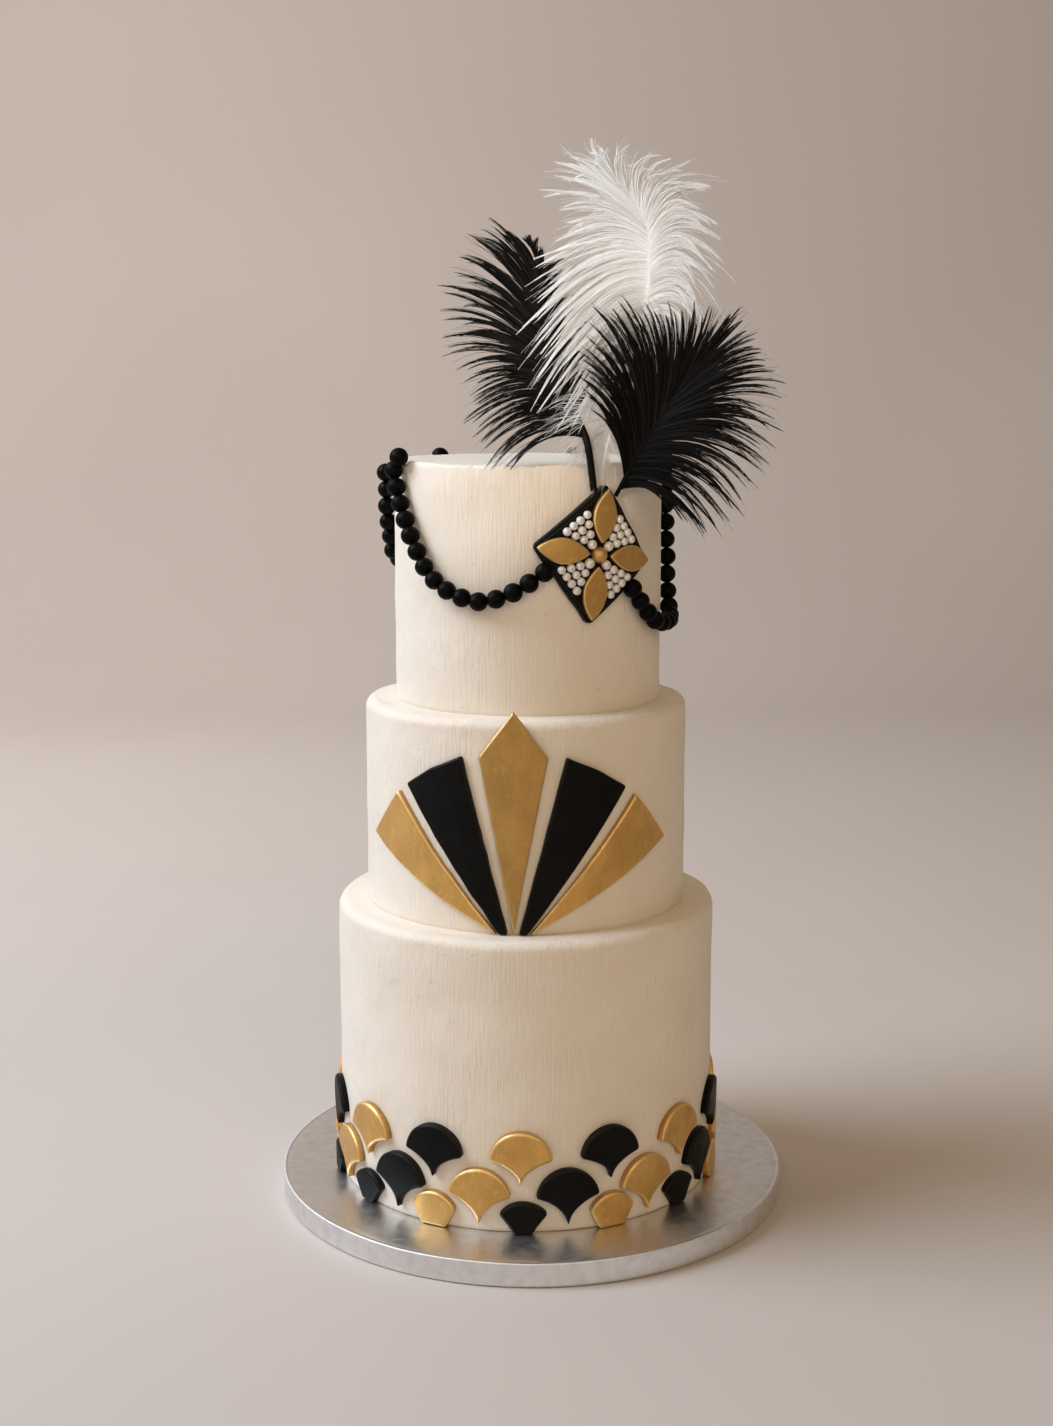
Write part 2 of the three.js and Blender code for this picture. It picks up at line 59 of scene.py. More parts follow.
# Scales round the bottom tier: hollow is the share by which the lower edges follow a quarter of an ellipse
SCALE = dict(per_row=14, front=-1, thickness=4, bevel=1.5, hand_placing=0.5)
SCALE_ROWS = [
    dict(name="scale_high", corner=39, half=16.6, crown=15.4, drop=12.9, hollow=0.72, offset=0),
    dict(name="scale_mid", corner=19.3, half=16.8, crown=14.8, drop=15.2, hollow=0.72, offset=0.5),
    dict(name="scale_low", corner=10.6, half=12.6, drop=10.3, offset=0),
]
LOW_SCALE = {
    "pale_gold": dict(crown=7.8, foot=6, hollow=-0.4),
    "black": dict(crown=6.5, foot=4.8, hollow=0.15),
}
COLOUR_SEAM = -70

# Fan on the middle tier, drawn flat as (along the surface, height above the tier below)
FAN = dict(centre=-4.1, thickness=3, bevel=1.2)
FAN_SHAPES = {
    "fan_kite": ("gold", 1.2, [(0, 0), (17.8, 90.4), (0, 113.7), (-17.8, 90.4)]),
    "fan_wedge_right": ("black", 3.0, [(2.8, 0), (7.3, 0), (60.8, 73), (44.6, 82.8), (27.2, 90.3)]),
    "fan_blade_right": ("pale_gold", 1.6, [(8.4, 0), (90.8, 43), (67.5, 68.4)]),
}

# Brooch on the top tier
BROOCH = dict(azimuth=28.2, height=341, side=50.4, turn=-8, thickness=4, corner=3.0)
PETAL = dict(inner=5.6, outer=32.8, half=6.6, thickness=2.6, bevel=0.9)
PEARL = dict(radius=2.15, sunk=0.4, pitch=4.4)
INNER_PEARL = dict(radius=2.55, out=6.6)
PEARL_ROWS = [(11.4, 2), (15.7, 3), (20, 4)]
CENTRE_BALL = 4.2

# Bead strand: pins on the rim, and swags between them as (azimuth, height above the board)
BEAD = dict(radius=4.8, pitch=9.3)
PIN_HEIGHT, BACK_PIN_HEIGHT = 387.9, 384.4
STRAND_PINS = [(-60, PIN_HEIGHT), (-140, BACK_PIN_HEIGHT), (160, BACK_PIN_HEIGHT), (106, PIN_HEIGHT)]
THREAD = dict(radius=0.35, off=0.6, lower=4, steps=25, sides=8)
THREAD_PATH = [(-60, PIN_HEIGHT), (-72, 387), (-84, 385.3), (-94.8, 382.5)]
SWAG_FRONT = [
    (-60, PIN_HEIGHT), (-65, 380.6), (-62.9, 373.7), (-59.7, 365.8), (-52.4, 350.3),
    (-39.1, 328.3), (-20, 318.4), (-6.4, 322.7), (5.4, 332.5), (9, 336),
]
SWAG_RIGHT = [
    (42, 326.5), (45, 322), (54, 309.9), (62, 304), (72, 302.4), (84, 302.6), (93, 306),
    (97.6, 314), (99, 326), (100.4, 340), (102.2, 356), (105, 376), (106, PIN_HEIGHT),
]
SWAG_LEFT = [
    (-94.8, 382.5), (-95.4, 375), (-96.9, 361.9), (-98.7, 353.6), (-102, 345.3), (-105.5, 336),
    (-113, 330), (-122, 333), (-130, 346), (-136, 366), (-140, BACK_PIN_HEIGHT),
]
BACK_SAG = 64

# Plumes: spines and the loci of their barb tips, all from the base upwards
PLUMES = {
    "feather_black_left": dict(
        colour="black", quill=(1.75, 0.3), barbs=(860, 380), locks=(34, 14), lift=(0.34, 0.3), bare=0.2,
        roots=(
            [
                (0, 0.2), (0.24, 0.36), (0.46, 0.42), (0.63, 0.48), (0.73, 0.56), (0.8, 0.63), (0.88, 0.71),
                (1, 0.88),
            ],
            [(0, 0.3), (1, 0.97)],
        ),
        spine=[
            (30.3, -65, 385.5), (26.7, -69.5, 409), (21.5, -65.5, 423), (14, -60, 444), (8, -55.5, 463),
            (4, -51, 483), (0, -47, 502), (-5, -46, 508),
        ],
        left=[
            (-16, -74, 391), (-25, -73, 396), (-32, -62, 420), (-36, -57, 434), (-44, -53, 454),
            (-47, -49, 478), (-41, -45, 500), (-32, -44, 511), (-22, -44, 515), (-11, -45, 513),
        ],
        right=[
            (33, -52, 432), (32, -48, 454), (28, -45, 471), (21, -43, 485), (15, -42, 497),
            (7, -43, 505), (0, -45, 510), (-6, -45, 512),
        ],
    ),
    "feather_white": dict(
        colour="white", quill=(0.8, 0.25), barbs=(1350, 760), locks=(46, 30), lift=(0.32, 0.6), bare=0.1,
        roots=(
            [(0, 0.42), (0.11, 0.55), (0.33, 0.68), (0.59, 0.74), (0.78, 0.79), (0.9, 0.87), (1, 1)],
            [(0, 0.3), (0.33, 0.62), (0.52, 0.72), (0.68, 0.78), (0.93, 0.86), (1, 0.95)],
        ),
        spine=[
            (34.5, -62.6, 390.5), (35, -65, 400), (42, -66, 427), (50, -64, 453), (56, -61, 480),
            (57, -59, 495), (56, -57, 511), (53, -56, 519), (48, -55, 526), (37, -53, 540),
        ],
        left=[
            (15, -75, 403), (8, -75, 415), (-1, -74, 426), (-6, -71, 441), (-7, -65, 463),
            (-3, -60, 480), (7, -57, 498), (8, -55, 515), (8, -54, 535), (13, -53, 549),
            (24, -53, 553), (37, -54, 551),
        ],
        right=[
            (62, -64, 424), (77, -65, 441), (90, -66, 461), (95, -66, 476), (93, -65, 492),
            (91, -63, 513), (87, -61, 530), (78, -59, 538), (69, -57, 543), (58, -56, 548),
            (49, -55, 552), (43, -55, 554),
        ],
    ),
    "feather_black_right": dict(
        colour="black", quill=(1.1, 0.15), barbs=(900, 900), locks=(34, 36), lift=(0.3, 0.34), bare=0.1,
        roots=(
            [(0, 0.1), (0.37, 0.3), (0.66, 0.48), (0.83, 0.58), (1, 0.74)],
            [(0, 0.03), (0.17, 0.08), (0.37, 0.28), (0.58, 0.4), (0.73, 0.48), (0.87, 0.56), (1, 0.74)],
        ),
        spine=[
            (41.5, -58.2, 382.5), (51, -66, 402), (63, -72, 423), (74, -76, 439), (82, -78, 452),
            (90, -79, 462),
        ],
        left=[
            (26, -74, 430), (22, -76, 450), (23, -77, 460), (27, -78, 472), (36, -78, 477),
            (47, -79, 477), (60, -80, 477), (75, -81, 476), (87, -82, 475), (101, -82, 471),
        ],
        right=[
            (68, -76, 383), (85, -80, 364), (97, -82, 366), (104, -84, 377), (111, -85, 387),
            (116, -86, 401), (120, -86, 419), (120, -85, 437), (115, -84, 453), (109, -83, 465),
            (97, -83, 472),
        ],
    ),
}
BARB_STEPS, BARB_SIDES = 8, 3
QUILL = dict(steps=40, sides=10)
SHEET = (-0.45, -0.75, 0.5)  # side to which the soft face of the white plume turns
SHEET_SHARE = 0.4  # how far the white barbs are shaded as one soft sheet

# How the two colours of plume differ. barb is a barb's radius, flat stretches its width, and hairs says how
# many single hairs leave a barb and how long the longest are. locks says how far a lock of barbs ends in
# front or behind, its least reach, how far its end strays, and from where its barbs draw together.
PLUME_KINDS = {
    "black": dict(
        barb=0.29, flat=1.0, hairs=(5, 1.6),
        locks=dict(thickness=3.5, shortest=0.86, curl=1.6, early=-0.1),
    ),
    "white": dict(
        barb=0.2, flat=1.3, hairs=(7, 1.5),
        locks=dict(thickness=1.2, shortest=0.74, curl=3.3, early=-0.05),
    ),
}
FRONT_LAYER = 0.62  # share of the barbs that lie in the front layer of locks
LOOSE = 0.07  # share of the barbs that stand apart from their lock
BEND_AT = 0.42  # share of a barb's reach at which it bends over

# Loose down of the white plume that hangs in front of the rim: where it leaves the spine and where it ends
DOWN = [
    ((36, -65, 428), (8, -70, 428)), ((35, -65, 422), (5, -70, 417)), ((34, -65, 418), (11, -69, 408)),
    ((34, -65, 413), (17, -66.5, 398)), ((34, -64, 409), (23, -65, 389)), ((34, -64, 406), (31, -64, 384)),
    ((34, -64, 407), (39, -61.5, 388)), ((35, -65, 413), (46, -60, 388)), ((36, -65, 420), (51, -60, 396)),
    ((38, -65, 428), (53, -62, 408)),
]
DOWN_HAIRS, DOWN_CLUMPS, DOWN_SLIM = 40, 26, 0.6


# Shapes


def floor_height(above_board):
    return BOARD["thickness"] + above_board


def round_tier(tier, azimuth, radius, height):
    """Points at azimuths in degrees, distances from the tier's axis and heights above the board."""
    a = np.radians(azimuth)
    x, y, z = np.broadcast_arrays(tier["x"] + radius * np.sin(a), -radius * np.cos(a), floor_height(height))
    return np.stack([x, y, z], axis=-1)


def waves(seed, around, along, count=24, most_around=9, longest=120, shortest=25):
    """Smooth random relief of about -1 to 1, which closes round a tier: around is in radians, along in mm."""
    rng = np.random.default_rng(seed)
    total = np.zeros(np.broadcast(around, along).shape)
    for _ in range(count):
        turns = rng.integers(0, most_around + 1)
        pitch = 2 * math.pi / rng.uniform(shortest, longest)
        total += np.sin(turns * around + rng.choice((-1, 1)) * pitch * along + rng.uniform(0, 2 * math.pi))
    return total / math.sqrt(count)


class Path:
    """Smooth curve through points, measured by its length."""

    def __init__(self, points, steps=24):
        p = np.array(points, float)
        p = np.vstack([2 * p[0] - p[1], p, 2 * p[-1] - p[-2]])
        t = np.arange(steps)[:, None] / steps
        line = []
        for p0, p1, p2, p3 in zip(p, p[1:], p[2:], p[3:]):
            d0, d1, d2 = (math.sqrt(np.linalg.norm(b - a)) for a, b in ((p0, p1), (p1, p2), (p2, p3)))
            m1 = d1 * ((p1 - p0) / d0 - (p2 - p0) / (d0 + d1) + (p2 - p1) / d1)
            m2 = d1 * ((p2 - p1) / d1 - (p3 - p1) / (d1 + d2) + (p3 - p2) / d2)
            line.append(p1 + m1 * t + (3 * (p2 - p1) - 2 * m1 - m2) * t**2 + (2 * (p1 - p2) + m1 + m2) * t**3)
        self.line = np.vstack(line + [p[-2:-1]])
        self.run = np.concatenate([[0], np.cumsum(np.linalg.norm(np.diff(self.line, axis=0), axis=1))])
        self.length = self.run[-1]

    def at(self, share):
        place = np.clip(share, 0, 1) * self.length
        return np.stack([np.interp(place, self.run, axis) for axis in self.line.T], axis=-1)

    def direction(self, share):
        d = self.at(np.minimum(share + 0.01, 1)) - self.at(np.maximum(share - 0.01, 0))
        return d / np.linalg.norm(d, axis=-1, keepdims=True)


def piece(name, points, faces, look, slot, *nodes, normals=None, **attributes):
    """A mesh of the cake, in millimetres, that stands for CAD nodes."""
    faces = faces if isinstance(faces, list) else faces.tolist()
    mesh = bpy.data.meshes.new(name)
    mesh.from_pydata((np.asarray(points) * MM).tolist(), [], faces)
    mesh.materials.append(look)
    mesh.shade_smooth()
    for key, values in attributes.items():
        data = mesh.attributes.new(key, "FLOAT", "POINT").data
        data.foreach_set("value", np.asarray(values, np.float32).ravel())
    mesh.validate()
    if normals is not None:
        mesh.normals_split_custom_set_from_vertices(normals.tolist())
    obj = bpy.data.objects.new(name, mesh)
    bpy.context.scene.collection.objects.link(obj)
    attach(obj, "root")
    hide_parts(*nodes)
    return obj


def lathed(rows, columns):
    """Faces of a closed turned shape: rings that follow one another between a first and a last point."""
    faces = []
    for c in range(columns):
        d = (c + 1) % columns
        faces.append((0, 1 + d, 1 + c))
        for r in range(rows - 1):
            a, b = 1 + r * columns, 1 + (r + 1) * columns
            faces.append((a + c, a + d, b + d, b + c))
        last = 1 + (rows - 1) * columns
        faces.append((last + c, last + d, 1 + rows * columns))
    return faces


def turned_piece(name, node, tier, profile, columns, shape, look, slot):
    """A turned piece. shape(around, r, z) gives each ring point its own distance and height."""
    around = np.linspace(0, 2 * math.pi, columns, endpoint=False)
    rings = []
    for r, z in profile:
        own_r, own_z = shape(around, r, z)
        rings.append(round_tier(tier, np.degrees(around), own_r, own_z))
    ends = [round_tier(tier, 0, 0, profile[0][1]), round_tier(tier, 0, 0, profile[-1][1])]
    points = np.vstack([ends[0][None], *rings, ends[1][None]])
    return piece(name, points, lathed(len(profile), columns), look, slot, node)


def arc(centre, radius, start, end, steps):
    """Points of an arc in the profile plane, angles in degrees from the +r axis."""
    return [
        (centre[0] + radius * math.cos(math.radians(a)), centre[1] + radius * math.sin(math.radians(a)))
        for a in np.linspace(start, end, steps + 1)
    ]


# Materials


class Look:
    """A material made of nodes. Coordinates are those of the cake, in millimetres."""

    def __init__(self, name, **surface):
        self.material = bpy.data.materials.new(name)
        self.material.use_nodes = True
        self.tree = self.material.node_tree
        self.tree.nodes.clear()
        self.surface = self.node("BsdfPrincipled")
        self.output = self.node("OutputMaterial").inputs["Surface"]
        self.tree.links.new(self.surface.outputs[0], self.output)
        self.place = self.node("TexCoord").outputs["Object"]
        self.set(**surface)

    def set(self, **values):
        for key, value in values.items():
            self.put(self.surface.inputs[key.replace("_", " ")], value)

    def let_through(self, colour, share):
        """Lets a share of the light pass to the other side, as thin fibres do."""
        passing = self.node("BsdfTranslucent", {"Color": colour}).outputs[0]
        mixed = self.node("MixShader", {0: share, 1: self.surface.outputs[0], 2: passing}).outputs[0]
        self.tree.links.new(mixed, self.output)

    def put(self, socket, value):
        if isinstance(value, bpy.types.NodeSocket):
            self.tree.links.new(value, socket)
        elif hasattr(value, "__len__") and len(value) == 3 and len(socket.default_value) == 4:
            socket.default_value = (*value, 1)
        else:
            socket.default_value = value

    def node(self, kind, inputs=(), **settings):
        node = self.tree.nodes.new("ShaderNode" + kind)
        for key, value in settings.items():
            setattr(node, key, value)
        for key, value in dict(inputs).items():
            self.put(node.inputs[key], value)
        return node

    def scaled(self, x, y=None, z=None):
        factors = tuple(f / MM for f in (x, x if y is None else y, x if z is None else z))
        return self.node("VectorMath", {0: self.place, 1: factors}, operation="MULTIPLY").outputs[0]

    def noise(self, size, stretch=(1, 1, 1), detail=3, rough=0.55, shift=0.0):
        """Noise whose blobs are about size mm across, longer by stretch along each axis."""
        coords = self.scaled(*(1 / (size * s) for s in stretch))
        if shift:
            coords = self.node("VectorMath", {0: coords, 1: (shift, shift, shift)}).outputs[0]
        inputs = {"Vector": coords, "Scale": 1.0, "Detail": detail, "Roughness": rough}
        return self.node("TexNoise", inputs).outputs["Fac"]

    def ramp(self, value, low, high, start=0.0, end=1.0):
        inputs = {"Value": value, "From Min": low, "From Max": high, "To Min": start, "To Max": end}
        return self.node("MapRange", inputs, interpolation_type="SMOOTHSTEP").outputs["Result"]

    def mix(self, share, first, second):
        node = self.node("Mix", data_type="RGBA")
        self.put(node.inputs["Factor"], share)
        for socket, value in ((node.inputs[6], first), (node.inputs[7], second)):
            self.put(socket, value)
        return node.outputs[2]

    def math(self, operation, first, second):
        return self.node("Math", {0: first, 1: second}, operation=operation).outputs[0]

    def attribute(self, name):
        return self.node("Attribute", attribute_name=name).outputs["Fac"]

    def bump(self, height, depth, before=None):
        inputs = {"Height": height, "Distance": depth * MM, "Strength": 1.0}
        if before is not None:
            inputs["Normal"] = before
        return self.node("Bump", inputs).outputs[0]


def icing_look():
    look = Look("ivory_icing_look", Subsurface_Weight=0.15, Subsurface_Scale=0.003, IOR=1.42)
    look.set(Subsurface_Radius=(1.0, 0.62, 0.38))
    clouds = look.noise(38, detail=4)
    streaks = look.noise(1.0, (1, 1, 22), detail=3)
    smears = look.noise(2.2, (1, 1, 5), detail=4, shift=7)
    grain = look.noise(0.5, detail=3)
    cells = look.node("TexVoronoi", {"Vector": look.scaled(1 / 7.0, 1 / 7.0, 1 / 9.0), "Scale": 1.0})
    few = look.ramp(look.node("SeparateColor", {0: cells.outputs["Color"]}).outputs[0], 0.66, 0.7)
    pit = look.math("MULTIPLY", look.ramp(cells.outputs["Distance"], 0.03, 0.1, 1, 0), few)
    patches = look.ramp(look.noise(26, shift=3), 0.42, 0.62)

    base = look.mix(look.ramp(clouds, 0.3, 0.7), (0.885, 0.80, 0.70), (0.845, 0.755, 0.645))
    base = look.mix(look.ramp(streaks, 0.56, 0.78, 0, 0.3), base, (0.80, 0.70, 0.58))
    # The pits are also mixed to a darker ivory: painted shade in the pits, besides their dent in the bump
    # below.
    base = look.mix(look.math("MULTIPLY", pit, 0.3), base, (0.66, 0.55, 0.43))
    look.set(Base_Color=base, Roughness=look.ramp(smears, 0.3, 0.7, 0.5, 0.62))
    normal = look.bump(streaks, 0.3)
    normal = look.bump(look.math("MULTIPLY", smears, patches), 0.5, normal)
    normal = look.bump(grain, 0.09, normal)
    normal = look.bump(look.math("MULTIPLY", pit, -1.0), 0.25, normal)
    look.set(Normal=normal)
    return look.material


def gold_look(name, tone):
    look = Look(name, Metallic=0.74, Coat_Weight=0.8, Coat_IOR=1.55, Coat_Roughness=0.38)

    def gold(*colour):
        return tuple(tone * part for part in colour)

    patches = look.noise(13, (1, 1, 1.6), detail=3)
    mottle = look.noise(2.6, (1, 1, 1.8), detail=5, rough=0.6)
    brush = look.noise(0.55, (1, 1, 12), detail=3)
    speck = look.noise(0.45, detail=3, rough=0.7)
    creases = look.noise(9, (2.2, 2.2, 1), detail=2, shift=5)
    base = look.mix(look.ramp(patches, 0.3, 0.7), gold(0.65, 0.372, 0.085), gold(0.53, 0.29, 0.06))
    base = look.mix(look.ramp(mottle, 0.54, 0.72, 0, 0.5), base, gold(0.78, 0.49, 0.15))
    base = look.mix(look.ramp(brush, 0.54, 0.76, 0, 0.5), base, gold(0.40, 0.215, 0.045))
    base = look.mix(look.ramp(speck, 0.58, 0.72, 0, 0.5), base, gold(0.85, 0.60, 0.27))
    base = look.mix(look.ramp(speck, 0.42, 0.29, 0, 0.4), base, gold(0.34, 0.175, 0.04))
    # The bevels are mixed to a lighter gold: a painted highlight along the edges.
    base = look.mix(look.ramp(look.attribute("edge"), 0.35, 1.0, 0, 0.7), base, gold(0.83, 0.60, 0.27))
    look.set(Base_Color=base, Roughness=look.ramp(patches, 0.3, 0.7, 0.42, 0.54))
    normal = look.bump(creases, 0.5)
    normal = look.bump(mottle, 0.12, normal)
    normal = look.bump(brush, 0.12, normal)
    normal = look.bump(speck, 0.07, normal)
    look.set(Normal=normal)
    return look.material


def black_icing_look():
    look = Look("black_icing_look", IOR=1.45, Specular_IOR_Level=0.14)
    clouds = look.noise(7, detail=4)
    grain = look.noise(0.6, detail=3)
    base = look.mix(look.ramp(clouds, 0.35, 0.7), (0.0025, 0.0023, 0.0018), (0.0045, 0.0042, 0.0035))
    # The bevels are mixed to a lighter black: a painted highlight along the edges.
    base = look.mix(look.ramp(look.attribute("edge"), 0.4, 1.0, 0, 0.7), base, (0.02, 0.019, 0.016))
    look.set(Base_Color=base, Roughness=look.ramp(clouds, 0.3, 0.7, 0.4, 0.52))
    look.set(Normal=look.bump(grain, 0.05, look.bump(clouds, 0.3)))
    return look.material


def bead_look():
    look = Look("black_bead_look", IOR=1.42, Specular_IOR_Level=0.09)
    dust = look.noise(2.2, detail=4)
    grain = look.noise(0.35, detail=2)
    look.set(
        Base_Color=look.mix(look.ramp(dust, 0.35, 0.7), (0.0009, 0.001, 0.0007), (0.0024, 0.0024, 0.002)),
        Roughness=look.ramp(dust, 0.3, 0.7, 0.4, 0.5),
        Normal=look.bump(grain, 0.03),
    )
    return look.material


def pearl_look():
    look = Look("pearl_look", Metallic=0.12, Coat_Weight=0.5, Coat_Roughness=0.14, IOR=1.5)
    cloud = look.noise(1.6, detail=2)
    base = look.mix(look.ramp(cloud, 0.3, 0.7), (0.88, 0.85, 0.82), (0.8, 0.76, 0.72))
    ring = look.attribute("ring")
    # The middle of each pearl, where it faces out, is mixed to a darker pink: a painted reflection.
    base = look.mix(look.ramp(ring, 0.34, 0.5, 0.55, 0), base, (0.52, 0.43, 0.39))
    look.set(Base_Color=base, Roughness=look.ramp(cloud, 0.3, 0.7, 0.26, 0.36))
    return look.material


def foil_look():
    look = Look("silver_foil_look", Metallic=1.0)
    wrinkle = look.noise(6, detail=5, rough=0.6)
    dents = look.noise(26, detail=2)
    scratch = look.noise(0.8, (14, 3, 3), detail=2)
    fine = look.noise(1.1, detail=3)
    base = look.mix(look.ramp(wrinkle, 0.35, 0.7), (0.83, 0.83, 0.835), (0.74, 0.74, 0.75))
    radius = look.node("VectorMath", {0: look.scaled(1, 1, 0)}, operation="LENGTH").outputs["Value"]
    height = look.node("SeparateXYZ", {0: look.scaled(1)}).outputs["Z"]
    rim = look.math("MULTIPLY", look.ramp(radius, 136.0, 136.8), look.ramp(height, 11.3, 11.9))
    rough = look.ramp(wrinkle, 0.3, 0.72, 0.32, 0.42)
    look.set(Base_Color=base, Roughness=look.math("MAXIMUM", rough, look.math("MULTIPLY", rim, 0.66)))
    normal = look.bump(dents, 0.16)
    normal = look.bump(wrinkle, 0.03, normal)
    normal = look.bump(scratch, 0.012, normal)
    normal = look.bump(fine, 0.008, normal)
    look.set(Normal=normal)
    return look.material


def plume_look(name, tones, through, **surface):
    """Colours near the spine, at the tips and of single hairs, and the share of light that passes."""
    look = Look(name, **surface)
    along, hair = look.attribute("along"), look.attribute("hair")
    base = look.mix(look.ramp(along, 0.1, 0.95), tones[0], tones[1])
    base = look.mix(look.ramp(hair, 0.55, 1.0, 0, 0.8), base, tones[2])
    look.set(Base_Color=base, Roughness=look.ramp(look.noise(3), 0.3, 0.7, 0.36, 0.52))
    look.let_through(base, through)
    return look.material


def stage_look():
    look = Look("stage_look", Specular_IOR_Level=0.25)
    veins = look.noise(420, (1, 1.6, 1.6), detail=5)
    haze = look.noise(1500, detail=2)
    base = look.mix(look.ramp(veins, 0.35, 0.65), (0.66, 0.59, 0.545), (0.63, 0.557, 0.51))
    base = look.mix(look.ramp(haze, 0.35, 0.65), base, (0.60, 0.533, 0.49))
    look.set(Base_Color=base, Roughness=look.ramp(veins, 0.3, 0.7, 0.5, 0.6))
    return look.material


LOOKS = {
    "ivory": (icing_look(), "ivory_icing"),
    "gold": (gold_look("gold_icing_look", 0.93), "gold_icing"),
    "pale_gold": (gold_look("pale_gold_icing_look", 1.17), "gold_icing"),
    "black": (black_icing_look(), "black_icing"),
    "bead": (bead_look(), "black_bead"),
    "pearl": (pearl_look(), "pearl"),
    "foil": (foil_look(), "silver_foil"),
    "plume_black": (
        plume_look(
            "black_plume_look",
            [(0.001, 0.0009, 0.0007), (0.003, 0.0027, 0.0021), (0.022, 0.019, 0.016)],
            through=0.06, Specular_IOR_Level=0.15,
        ),
        "black_plume",
    ),
    "plume_white": (
        plume_look(
            "white_plume_look",
            [(0.94, 0.925, 0.91), (0.97, 0.955, 0.94), (0.70, 0.68, 0.66)],
            through=0.35, Specular_IOR_Level=0.3,
        ),
        "white_plume",
    ),
}


# Board and tiers


def board():
    r, h, e, lip = BOARD["radius"], BOARD["thickness"], BOARD["edge"], BOARD["lip"]
    rise, groove, under = 0.12, 0.1, 1.6
    profile = [(r * s, -h) for s in (0.3, 0.8, 0.97)]
    profile += arc((r - under, -h + under), under, -90, 0, 5)
    profile += [(r, -h * s) for s in (0.8, 0.6, 0.4, 0.2)]
    profile += arc((r - e, -e + rise), e, 0, 90, 6)
    profile += [(r - lip, rise * 0.6), (r - lip - 0.25, -groove), (r - lip - 0.7, 0)]
    profile += [(x, 0) for x in np.linspace(r - lip - 4, 4, 22)]

    def shape(around, x, z):
        soft = 0.10 * waves(11, around, x, count=16, most_around=14, shortest=30) if x > 5 else 0
        if z < -2:
            return x + 0.06 * waves(12, around, z, most_around=30), z + 0 * around
        return x + 0.05 * waves(13, around, 0 * around, most_around=9), z + np.minimum(soft, 0.12)

    return turned_piece("board_foil", "board", dict(x=0), profile, 288, shape, *LOOKS["foil"])


def iced_tier(name):
    t = TIERS[name]
    r, edge, bottom, top, seed = t["radius"], t["edge"], t["bottom"], t["top"], t["columns"]
    profile = [(r * 0.4, bottom), (r * 0.8, bottom), (r - 0.5, bottom)]
    profile += [(r, z) for z in np.arange(bottom + 0.5, top - edge, 2.4)]
    profile += arc((r - edge, top - edge), edge, 0, 90, 9)
    profile += [(x, top) for x in np.linspace(r - edge - 1.5, 6, 26)]

    def shape(around, x, z):
        wall = 0.16 * waves(seed, around, z, count=30, most_around=7) - 0.1
        wall = wall + 0.045 * waves(seed + 1, around, z, count=36, most_around=40, shortest=8, longest=60)
        up = max(0.0, (z - (top - edge)) / edge)
        rim = up * (0.3 * waves(seed + 2, around, 0 * around, count=18, most_around=16))
        chips = waves(seed + 3, around, 0 * around, count=60, most_around=130)
        rim = rim + math.sin(math.pi * min(up, 1)) * t["ragged"] * np.clip(chips - 0.3, -0.2, 1.6)
        flat = up * 0.3 * waves(seed + 4, around, x, count=20, most_around=5, shortest=20)
        outside = 1 if x > r - edge - 1 else 0
        return x + outside * (wall + 0.6 * rim * (1 - up)), z + rim * outside + flat * 0.6

    return turned_piece(f"{name}_iced", name, t, profile, t["columns"], shape, *LOOKS["ivory"])


# Plates of sugar paste: cut flat, their edges rounded, then bent round a tier


EDGE = [(0, 1), (0.08, 0.76), (0.3, 0.5), (0.68, 0.19), (0.88, 0.06), (1, 0)]  # shares of the bevel: in, down
INNER_RINGS = (0.8, 0.55, 0.28)


def even_outline(corners, rounding, fine=0.25, length=1.7, turn=14):
    """Closed outline with its corners rounded over a length, and points close together where it turns."""
    p = np.array([*corners, corners[0]], float)
    run = np.concatenate([[0], np.cumsum(np.linalg.norm(np.diff(p, axis=0), axis=1))])
    count = round(run[-1] / fine)
    at = np.arange(count) * run[-1] / count
    p = np.stack([np.interp(at, run, axis) for axis in p.T], axis=-1)
    reach = round(rounding / fine / 2)
    p = np.mean([np.roll(p, k, axis=0) for k in range(-reach, reach + 1)], axis=0)
    step = np.roll(p, -1, axis=0) - p
    heading = np.unwrap(np.arctan2(step[:, 1], step[:, 0]))
    weight = np.linalg.norm(step, axis=1) / length + np.abs(np.gradient(heading)) / math.radians(turn)
    total = np.cumsum(weight)
    picked = np.searchsorted(total, np.arange(0, total[-1], total[-1] / round(total[-1])))
    return p[np.unique(picked)]


def distance_to(outline, points):
    """Distance from points (..., 2) to a closed outline."""
    a, b = outline, np.roll(outline, -1, axis=0)
    along = b - a
    rel = points[..., None, :] - a
    t = np.clip((rel * along).sum(-1) / (along**2).sum(-1), 0, 1)
    return np.linalg.norm(rel - t[..., None] * along, axis=-1).min(-1)


